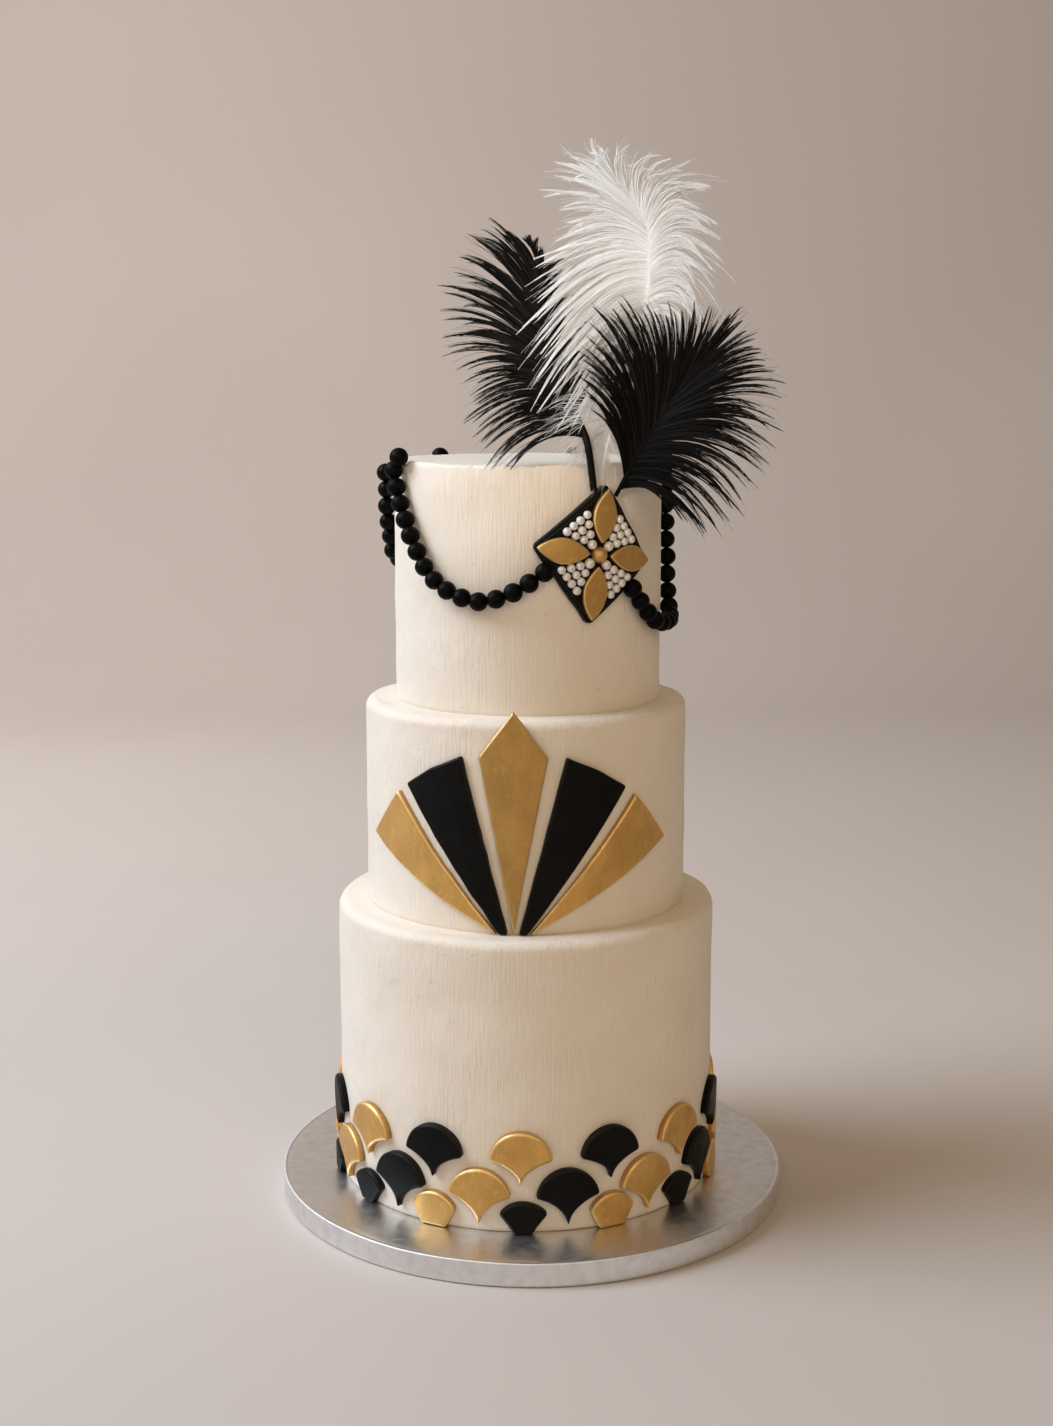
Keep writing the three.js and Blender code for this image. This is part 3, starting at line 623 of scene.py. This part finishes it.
def plate(name, corners, place, thickness, bevel, finish, node, seed, back=ROOTED, rounding=1.6, middle=None):
    """Plate with bevelled edges.

    corners is flat, anticlockwise, as (x, z). place(x, z, out) lays points on a tier.
    """
    outline = even_outline(corners, rounding)
    middle = outline.mean(axis=0) if middle is None else np.array(middle, float)
    inward = np.concatenate([np.linspace(0, 0.3, 31), np.linspace(0.32, 0.75, 16)])
    rays = outline[:, None] + inward[None, :, None] * (middle - outline)[:, None]
    depth = np.maximum.accumulate(distance_to(outline, rays), axis=1)
    # edge weights each ring by how far it lies on the bevel; the gold and black looks paint this band
    # lighter, a painted highlight along the bevelled edges.
    rings, outs, edge = [outline], [back], [0.2]
    for share, drop in EDGE:
        goes_in = np.array([np.interp(share * bevel, d, inward) for d in depth])
        rings.append(outline + goes_in[:, None] * (middle - outline))
        outs.append(thickness - 0.8 * bevel * drop)
        edge.append(math.sin(math.pi * min(share + 0.12, 1)))
    for share in INNER_RINGS:
        rings.append(middle + share * (rings[len(EDGE)] - middle))
        outs.append(thickness)
        edge.append(0)
    flat = np.vstack([middle, *rings, middle])
    n = len(outline)
    out = np.concatenate([[back], np.repeat(outs, n), [thickness]])
    x, z = flat.T
    wobble = 0.1 * waves(seed, x / 4, z, most_around=1, shortest=9, longest=30)
    lift = 0.1 * waves(seed + 1, x / 14, z, most_around=2, shortest=14, longest=50) * (out > 0)
    obj = piece(
        name, place(x + wobble, z + wobble, out + lift), lathed(len(rings), n), *LOOKS[finish], node,
        edge=np.concatenate([[0], np.repeat(edge, n), [0]]),
    )
    obj.modifiers.new("flat_faces", "WEIGHTED_NORMAL")
    return obj


def scale_outline(corner, half, crown, drop, hollow, foot=0, **_):
    """Round-topped scale, anticlockwise. Its lower edges curve in to a tip, or to a flat foot."""
    radius = (half**2 + crown**2) / (2 * crown)
    span = math.asin(min(1, half / radius))
    top = corner + crown
    upper = [(radius * math.sin(a), top - radius * (1 - math.cos(a))) for a in np.linspace(span, -span, 31)]
    lower = []
    for t in np.linspace(1, 0, 13)[1:]:
        rise = hollow * math.sqrt(t * (2 - t)) + (1 - hollow) * t
        lower.append((foot + (half - foot) * t, corner - drop + drop * rise))
    left = [(-x, z) for x, z in lower]
    right = lower[::-1] if foot else lower[-2::-1]
    return upper + left + right


def scales():
    pitch = 360 / SCALE["per_row"]
    reference = BOTTOM["radius"] + SCALE["thickness"]
    for row_index, row in enumerate(SCALE_ROWS):
        for k in range(SCALE["per_row"]):
            step = k - SCALE["per_row"] // 2
            exact = SCALE["front"] + pitch * (step + row["offset"])
            azimuth = exact + SCALE["hand_placing"] * math.sin(5.1 * k + 2.3 * row_index)
            slipped = row_index > 0 and exact < COLOUR_SEAM
            even = (step + (row_index > 0)) % 2 == 0

            def place(x, z, out):
                return round_tier(BOTTOM, azimuth + np.degrees(x / reference), BOTTOM["radius"] + out, z)

            node = f"{row['name']}_{k + 1:02d}"
            finish = "pale_gold" if even != slipped else "black"
            low = LOW_SCALE[finish] if row["name"] == "scale_low" else {}
            plate(
                f"{node}_paste", scale_outline(**row, **low), place, SCALE["thickness"], SCALE["bevel"],
                finish, node, seed=100 * row_index + k, rounding=3.2, middle=(0, row["corner"] + 1),
            )


def fan():
    reference = MIDDLE["radius"] + FAN["thickness"]

    def place(x, z, out):
        azimuth = FAN["centre"] + np.degrees(x / reference)
        return round_tier(MIDDLE, azimuth, MIDDLE["radius"] + out, BOTTOM["top"] + 0.3 + z)

    for seed, (name, (finish, rounding, outline)) in enumerate(FAN_SHAPES.items()):
        outlines = {name: outline}
        if name.endswith("_right"):
            outlines[name.replace("_right", "_left")] = [(-x, z) for x, z in reversed(outline)]
        for node, shape in outlines.items():
            plate(
                f"{node}_paste", shape, place, FAN["thickness"], FAN["bevel"], finish, node,
                seed=500 + seed, rounding=rounding,
            )


# Brooch


def on_brooch(x, z, out):
    reference = TOP["radius"] + BROOCH["thickness"]
    azimuth = BROOCH["azimuth"] + np.degrees(x / reference)
    return round_tier(TOP, azimuth, TOP["radius"] + out, BROOCH["height"] + z)


def turned(x, z, degrees):
    a = math.radians(degrees)
    return x * math.cos(a) - z * math.sin(a), x * math.sin(a) + z * math.cos(a)


def rounded_square(side, corner, steps=5):
    """Square standing on its corner, each corner rounded."""
    middle = side / 2 - corner
    points = []
    for quarter in range(4):
        cx, cz = turned(middle, middle, 90 * quarter)
        for a in np.linspace(0, 90, steps + 1):
            dx, dz = turned(corner, 0, a + 90 * quarter)
            points.append((cx + dx, cz + dz))
    return [turned(x, z, 45 + BROOCH["turn"]) for x, z in points]


def ball(sides, rings):
    """Unit ball as (points, faces), poles on +Z and -Z."""
    polar = np.linspace(0, math.pi, rings + 1)[1:-1]
    around = np.linspace(0, 2 * math.pi, sides, endpoint=False)
    body = [
        (math.sin(p) * math.cos(a), math.sin(p) * math.sin(a), math.cos(p)) for p in polar for a in around
    ]
    points = np.array([(0, 0, 1), *body, (0, 0, -1)])
    return points, lathed(rings - 1, sides)


def many_balls(name, centres, radii, outwards, finish, node, sides, rings):
    """Balls in one piece, each with its pole towards its outward direction."""
    unit, faces = ball(sides, rings)
    points, all_faces, rings_of = [], [], []
    for centre, radius, outward in zip(centres, radii, outwards):
        turn = np.array(Vector(outward).to_track_quat("Z", "Y").to_matrix())
        start = len(points) * len(unit)
        points.append(np.asarray(centre) + radius * unit @ turn.T)
        all_faces += [tuple(i + start for i in f) for f in faces]
        rings_of.append(np.hypot(unit[:, 0], unit[:, 1]) + (unit[:, 2] < 0))
    return piece(name, np.vstack(points), all_faces, *LOOKS[finish], node, ring=np.concatenate(rings_of))


def brooch():
    thickness = BROOCH["thickness"]
    square = rounded_square(BROOCH["side"], BROOCH["corner"])
    plate("brooch_plaque_base", square, on_brooch, thickness - 0.5, 1.0, "black", "brooch_plaque", seed=900)
    raised = rounded_square(BROOCH["side"] - 3.4, BROOCH["corner"] - 1)
    plate(
        "brooch_plaque_raised", raised, on_brooch, thickness, 0.7, "black", "brooch_plaque", seed=903,
        back=thickness - 1.2,
    )

    at, sizes = [], []
    for quarter in range(4):
        turn = quarter * 90 + 45 + BROOCH["turn"]
        at.append(turned(INNER_PEARL["out"], 0, turn))
        sizes.append(INNER_PEARL["radius"])
        for out, count in PEARL_ROWS:
            for i in range(count):
                at.append(turned(out, (i - (count - 1) / 2) * PEARL["pitch"], turn))
                sizes.append(PEARL["radius"])
    rng = np.random.default_rng(41)
    at = np.array(at) + rng.uniform(-0.12, 0.12, (len(at), 2))
    sizes = np.array(sizes) * rng.uniform(0.97, 1.03, len(sizes))
    centres = on_brooch(at[:, 0], at[:, 1], thickness + PEARL["sunk"])
    outwards = on_brooch(at[:, 0], at[:, 1], thickness + 10) - centres
    outwards += rng.uniform(-1.2, 1.2, outwards.shape)
    many_balls("brooch_pearls", centres, sizes, outwards, "pearl", "brooch_plaque", sides=20, rings=14)

    middle = on_brooch(np.zeros(1), np.zeros(1), thickness + PEARL["sunk"])
    outward = on_brooch(np.zeros(1), np.zeros(1), 90.0) - middle
    many_balls("brooch_centre", middle, [CENTRE_BALL], outward, "gold", "brooch_plaque", sides=40, rings=24)

    inner, outer, half = PETAL["inner"], PETAL["outer"], PETAL["half"]
    shares = np.linspace(0, 1, 17)
    widths = half * np.sin(np.pi * shares) ** 0.85
    lengths = inner + (outer - inner) * shares
    outline = [*zip(lengths, -widths), *zip(lengths[-2:0:-1], widths[-2:0:-1])]
    for quarter, side in enumerate(("right", "top", "left", "bottom")):
        shape = [turned(x, z, 90 * quarter + BROOCH["turn"]) for x, z in outline]
        plate(
            f"petal_{side}_paste", shape, on_brooch, thickness + PETAL["thickness"], PETAL["bevel"], "gold",
            f"petal_{side}", seed=930 + quarter, back=thickness - 0.2, rounding=1.2,
        )


# Bead strand


def even_swag(start, end):
    (a0, z0), (a1, z1) = start, end
    return [
        (a0 + (a1 - a0) * t, z0 + (z1 - z0) * t - 4 * BACK_SAG * t * (1 - t)) for t in np.linspace(0, 1, 7)
    ]


def strand():
    radius = TOP["radius"] + BEAD["radius"] + HUNG
    _, back_left, back_right, right = STRAND_PINS
    swags = [
        SWAG_FRONT, SWAG_RIGHT, SWAG_LEFT,
        even_swag(back_left, (back_right[0] - 360, back_right[1])), even_swag(back_right, right),
    ]
    places = list(STRAND_PINS)
    for swag in swags:
        path = Path([(math.radians(a) * radius, z) for a, z in swag])
        count = round(path.length / BEAD["pitch"])
        shares = (np.arange(count) + 0.5) / count
        # Where a swag hangs from a pin, the pin's own bead takes the place of half a bead
        if swag[0] in STRAND_PINS:
            shares = shares * (1 - 0.5 / count) + 0.5 / count
        if swag[-1] in STRAND_PINS or swag[-1][0] == back_right[0] - 360:
            shares = shares * (1 - 0.5 / count)
        for along, z in path.at(shares):
            places.append((math.degrees(along / radius), z))
    rng = np.random.default_rng(7)
    places = np.array(places)
    sizes = BEAD["radius"] * rng.uniform(0.975, 1.02, len(places))
    out = radius + rng.uniform(-0.1, 0.25, len(places))
    centres = round_tier(TOP, places[:, 0], out, places[:, 1])
    outwards = rng.normal(size=centres.shape)
    many_balls("bead_strand_beads", centres, sizes, outwards, "bead", "bead_strand", sides=24, rings=15)

    azimuths, heights = np.transpose(THREAD_PATH)
    share, knots = np.linspace(0, 1, THREAD["steps"]), np.linspace(0, 1, len(THREAD_PATH))
    line = round_tier(
        TOP, np.interp(share, knots, azimuths), TOP["radius"] + THREAD["off"],
        np.interp(share, knots, heights) - THREAD["lower"],
    )
    points, faces, *_ = tubes(line[None], np.full((1, THREAD["steps"]), THREAD["radius"]), THREAD["sides"])
    piece("bead_strand_thread", points, faces, *LOOKS["bead"], "bead_strand")


# Plumes: barbs gathered into tapering locks, each with fine barbules


def quadratic(a, b, c, t):
    return a * (1 - t) ** 2 + 2 * b * t * (1 - t) + c * t**2


def smooth_step(t):
    t = np.clip(t, 0, 1)
    return t * t * (3 - 2 * t)


def barb_lines(rng, spine, tips, roots, lift, count, locks, thickness, shortest, curl, early):
    """Centre lines of the barbs on one side, as (barbs, steps + 1, 3), and each barb's own slimness.

    roots pairs shares along the tips with shares along the spine. Barbs lie in two layers of locks. A lock
    ends up to the thickness in front of the tips or behind them. shortest is its least reach, curl how far
    its end strays, and early the least share of the length from which its barbs draw together.
    """
    s = (np.arange(count) + rng.random(count)) / count
    front = rng.random(count) < FRONT_LAYER
    lock = np.empty(count, int)
    centres, fullness = [], []
    for layer, number, full in ((front, locks, 1.0), (~front, round(locks * 0.7), 0.9)):
        own = (np.arange(number) + 0.5 + rng.uniform(-0.38, 0.38, number)) / number
        blurred = s[layer, None] + rng.normal(0, 0.16 / number, (layer.sum(), 1))
        near = np.abs(blurred - own).argmin(axis=1)
        lock[layer] = near + len(centres)
        centres.extend(own)
        fullness.extend([full] * number)
    centres = np.array(centres)
    gather = rng.uniform(0.9, 1.0, len(centres))[lock]
    loose = rng.random(count) < LOOSE
    gather[loose] = rng.uniform(0, 0.4, loose.sum())
    reach_of = rng.uniform(shortest, 1.04, len(centres)) * np.array(fullness)
    stray = rng.normal(0, curl, (len(centres), 3))[lock] * (1, 0.6, 1)
    depth = rng.uniform(-thickness, thickness, len(centres))[lock]
    start = rng.uniform(early, early + 0.24, len(centres))[lock]

    def barb(share, reach, t):
        u = np.interp(share, *np.transpose(roots))
        base, tip, along = spine.at(u), tips.at(share), spine.direction(u)
        tip = base + (tip - base) * reach[:, None]
        reached = np.linalg.norm(tip - base, axis=1)
        bend = base + (tip - base) * BEND_AT + along * (lift * reached)[:, None]
        return quadratic(base[:, None], bend[:, None], tip[:, None], t[..., None])

    steps = np.linspace(0, 1, BARB_STEPS + 1)
    cut = 1 - np.minimum(np.abs(rng.normal(0, 0.1, count)), 0.5)
    t = steps[None] * cut[:, None]
    own = barb(s, rng.uniform(0.9, 1.0, count) + 0.06 * loose, t)
    shared = barb(centres[lock], reach_of[lock], t)
    w = (gather[:, None] * smooth_step((t - start[:, None]) / (1.02 - start[:, None])))[..., None]
    line = own * (1 - w) + shared * w
    spread = rng.normal(0, 1, (count, 3)) * (0.34, 0.7, 0.34)
    spread *= (1 + 2.4 * loose)[:, None]
    line += spread[:, None] * (2.6 * t * np.maximum(1 - t, 0.02) ** 0.6)[..., None]
    line[..., 1] += depth[:, None] * t**1.5
    line += stray[:, None] * t[..., None] ** 3
    phase = rng.uniform(0, 2 * math.pi, (count, 1))
    swing = rng.uniform(0.05, 0.3, (count, 1)) * (1 + 4 * loose[:, None])
    line[..., 0] += swing * np.sin(phase + 5 * t) * t
    line[..., 2] += swing * np.cos(1.3 * phase + 4 * t) * t
    return line, rng.uniform(0.7, 1.2, count) * np.where(loose, 0.7, 1)


def tubes(lines, radii, sides=BARB_SIDES, wide=1.0):
    """Tubes along lines (n, m, 3) with radii (n, m): points, faces, shares along and outward directions."""
    n, m, _ = lines.shape
    tangent = np.gradient(lines, axis=1)
    tangent /= np.linalg.norm(tangent, axis=2, keepdims=True) + 1e-9
    side = np.cross(tangent, (0.05, 1, 0.02))
    side /= np.linalg.norm(side, axis=2, keepdims=True) + 1e-9
    other = np.cross(tangent, side)
    outwards = []
    for k in range(sides):
        a = 2 * math.pi * k / sides + 0.5
        outwards.append(wide * side * math.cos(a) + other * math.sin(a) / wide)
    outward = np.stack(outwards, axis=2)
    points = (lines[:, :, None] + radii[..., None, None] * outward).reshape(-1, 3)
    index = np.arange(n * m * sides).reshape(n, m, sides)
    a, b = index[:, :-1], index[:, 1:]
    faces = np.stack([a, np.roll(a, -1, 2), np.roll(b, -1, 2), b], axis=-1).reshape(-1, 4)
    along = np.broadcast_to(np.linspace(0, 1, m)[None, :, None], (n, m, sides)).reshape(-1)
    return points, faces, along, outward.reshape(-1, 3)


def barbules(lines, rng, each, longest):
    """Fine single hairs that leave the barbs forwards and to both sides, as points and faces."""
    n, m, _ = lines.shape
    barb = np.repeat(np.arange(n), each)
    t = rng.uniform(0.22, 0.97, n * each) * (m - 1)
    low = np.minimum(t.astype(int), m - 2)
    part = (t - low)[:, None]
    a, b = lines[barb, low], lines[barb, low + 1]
    root = a * (1 - part) + b * part
    along = (b - a) / (np.linalg.norm(b - a, axis=1, keepdims=True) + 1e-9)
    away = rng.normal(size=root.shape) * (1, 0.7, 1)
    away -= along * (away * along).sum(1, keepdims=True)
    away /= np.linalg.norm(away, axis=1, keepdims=True) + 1e-9
    long = rng.uniform(0.35, 1, (len(root), 1)) * longest
    tip = root + long * (0.86 * along + 0.5 * away)
    half = 0.055 * np.cross(along, away)
    turned_away = (np.cross(half, tip - root) @ SHEET) < 0
    half[turned_away] *= -1
    points = np.stack([root - half, root + half, tip], axis=1).reshape(-1, 3)
    faces = np.arange(len(points)).reshape(-1, 3)
    return points, faces, np.repeat(t / (m - 1), 3)


def down_lines(rng):
    """Loose, wavy hairs of down in clumps, fanned out between the given ends."""
    starts, ends = np.array(DOWN, float).transpose(1, 0, 2)
    count = DOWN_HAIRS * len(DOWN)
    clumps = rng.uniform(0, len(DOWN) - 1, DOWN_CLUMPS)
    share = np.clip(rng.choice(clumps, count) + rng.normal(0, 0.14, count), 0, len(DOWN) - 1)
    low = np.minimum(share.astype(int), len(DOWN) - 2)
    part = (share - low)[:, None]
    start = starts[low] * (1 - part) + starts[low + 1] * part + rng.normal(0, 1.2, (count, 3)) * (1, 0.5, 1.5)
    end = ends[low] * (1 - part) + ends[low + 1] * part + rng.normal(0, 2.2, (count, 3)) * (1, 0.6, 1)
    end = start + (end - start) * rng.uniform(0.55, 1.15, (count, 1))
    reach = np.linalg.norm(end - start, axis=1)[:, None]
    bend = (start + end) / 2 + (0, -0.12, 0.22) * reach + rng.normal(0, 0.08, (count, 3)) * reach
    t = np.linspace(0, 1, BARB_STEPS + 1)[None, :, None]
    line = quadratic(start[:, None], bend[:, None], end[:, None], t)
    phase = rng.uniform(0, 2 * math.pi, (count, 1, 3))
    line += (0.9, 0.6, 0.9) * np.sin(phase + 7 * t) * t
    return line


def plume(node, seed):
    spec = PLUMES[node]
    colour, kind = spec["colour"], PLUME_KINDS[spec["colour"]]
    white = colour == "white"
    rng = np.random.default_rng(seed)
    spine = Path(spec["spine"])
    steps = np.linspace(0, 1, BARB_STEPS + 1)
    swell = 0.55 + 0.45 * np.sin(np.pi * np.minimum(1.25 * steps, 1))
    profile = kind["barb"] * swell * (1 - steps) ** 0.6 + 0.06
    parts = []

    def add(points, faces, along, outward, hair):
        parts.append((points, faces, along, outward, np.broadcast_to(hair, len(points))))

    groups = []
    for i, side in enumerate(("left", "right")):
        shape = (spec["roots"][i], spec["lift"][i], spec["barbs"][i], spec["locks"][i])
        lines, slim = barb_lines(rng, spine, Path(spec[side]), *shape, **kind["locks"])
        groups.append((lines, slim, kind["flat"]))
    if white:
        down = down_lines(rng)
        groups.append((down, np.full(len(down), DOWN_SLIM), 1.0))
    for lines, slim, flat in groups:
        own_hair = np.repeat(rng.random(len(lines)), BARB_SIDES * len(steps))
        add(*tubes(lines, profile[None] * slim[:, None], wide=flat), own_hair)
        points, faces, along = barbules(lines, rng, *kind["hairs"])
        add(points, faces, along, np.broadcast_to(SHEET, points.shape), rng.random(len(points)))

    shares = np.linspace(0, 1, QUILL["steps"])
    thick_end, thin_end = spec["quill"]
    radii = thin_end + (thick_end - thin_end) * np.clip((1 - shares) / (1 - spec["bare"]), 0, 1) ** 1.6
    points, faces, along, outward = tubes(spine.at(shares)[None], radii[None], sides=QUILL["sides"])
    add(points, faces, 0 * along, outward, 0)

    points, faces, along, outward, hair = zip(*parts)
    starts = np.cumsum([0] + [len(own) for own in points])
    faces = [face for start, own in zip(starts, faces) for face in (own + start).tolist()]
    points, along, outward, hair = map(np.concatenate, (points, along, outward, hair))
    normals = None
    if white:
        sheet = np.array(SHEET)
        behind = outward[:, 1:2] > 0.25
        turned_to = np.where(behind, sheet * (1, -1, 1), sheet)
        normals = (1 - SHEET_SHARE) * outward + SHEET_SHARE * turned_to
        normals /= np.linalg.norm(normals, axis=1, keepdims=True)
    look = LOOKS[f"plume_{colour}"]
    return piece(f"{node}_plume", points, faces, *look, node, normals=normals, along=along, hair=hair)


# The cake

board()
for tier_name in TIERS:
    iced_tier(tier_name)
scales()
fan()
brooch()
strand()
for plume_seed, plume_name in enumerate(PLUMES, 2001):
    plume(plume_name, plume_seed)


# Stage: a pale floor that curves up into a backdrop. A cool key lights it like a window on the left, with a
# warm fill from the front, a small narrow lamp on the plumes and a soft one on the backdrop.


FLOOR = dict(front=-3.5, back=1.5, half_width=3.6)
BACKDROP = dict(radius=0.9, height=3.4)
LIGHTS = {
    "key": dict(
        place=(-1.62, -0.16, 1.72), target=(0, 0, 0.25), size=1.6, power=58, colour=(0.748, 0.86, 1.0),
    ),
    "fill": dict(
        place=(0.5, -2.0, 1.3), target=(0, 0, 0.25), size=1.6, power=11, colour=(1.0, 0.775, 0.5),
    ),
    "plumes": dict(
        place=(-0.36, -0.95, 0.56), target=(0.025, -0.07, 0.475), size=0.16, power=0.06,
        colour=(1.0, 0.96, 0.93), spread=14,
    ),
    "backdrop": dict(
        place=(-0.9, 0.9, 1.3), target=(-0.4, 2.3, 0.0), size=1.0, power=7, colour=(1.0, 0.88, 0.78),
    ),
}
SKY = dict(colour=(1.0, 0.80, 0.56), strength=0.26)
CAMERA = dict(place=(-0.00292, -1.0242, 0.4421), tilt=80.064, lens=48.88, sensor_width=36)


def stage():
    radius, wide = BACKDROP["radius"], FLOOR["half_width"]
    profile = [(y, 0) for y in (FLOOR["front"], -1.5, -0.6, 0, 0.6, 1.2)]
    profile += arc((FLOOR["back"], radius), radius, -90, 0, 24)
    profile += [(FLOOR["back"] + radius, BACKDROP["height"])]
    points = [(x, y, z) for y, z in profile for x in (-wide, 0, wide)]
    faces = []
    for row in range(len(profile) - 1):
        for c in range(2):
            a = 3 * row + c
            faces.append((a, a + 1, a + 4, a + 3))
    mesh = bpy.data.meshes.new("stage_sweep")
    mesh.from_pydata(points, [], faces)
    mesh.materials.append(stage_look())
    mesh.shade_smooth()
    sweep = bpy.data.objects.new("stage_sweep", mesh)
    bpy.context.scene.collection.objects.link(sweep)


def area_light(name, place, target, size, power, colour, spread=180):
    light = bpy.data.lights.new(name, "AREA")
    light.shape, light.size, light.energy, light.color = "DISK", size, power, colour
    light.spread = math.radians(spread)
    lamp = bpy.data.objects.new(name, light)
    lamp.location = place
    lamp.rotation_euler = (Vector(target) - Vector(place)).to_track_quat("-Z", "Y").to_euler()
    bpy.context.scene.collection.objects.link(lamp)


stage()
for light_name, light_spec in LIGHTS.items():
    area_light(light_name, **light_spec)

world = bpy.data.worlds.new("studio")
bpy.context.scene.world = world
world.use_nodes = True
sky = world.node_tree.nodes["Background"]
sky.inputs["Color"].default_value = (*SKY["colour"], 1)
sky.inputs["Strength"].default_value = SKY["strength"]
bpy.context.scene.view_settings.view_transform = "Standard"

camera = bpy.data.cameras.new("camera")
camera.lens, camera.sensor_width = CAMERA["lens"], CAMERA["sensor_width"]
eye = bpy.data.objects.new("camera", camera)
eye.location = CAMERA["place"]
eye.rotation_euler = (math.radians(CAMERA["tilt"]), 0, 0)
bpy.context.scene.collection.objects.link(eye)
bpy.context.scene.camera = eye
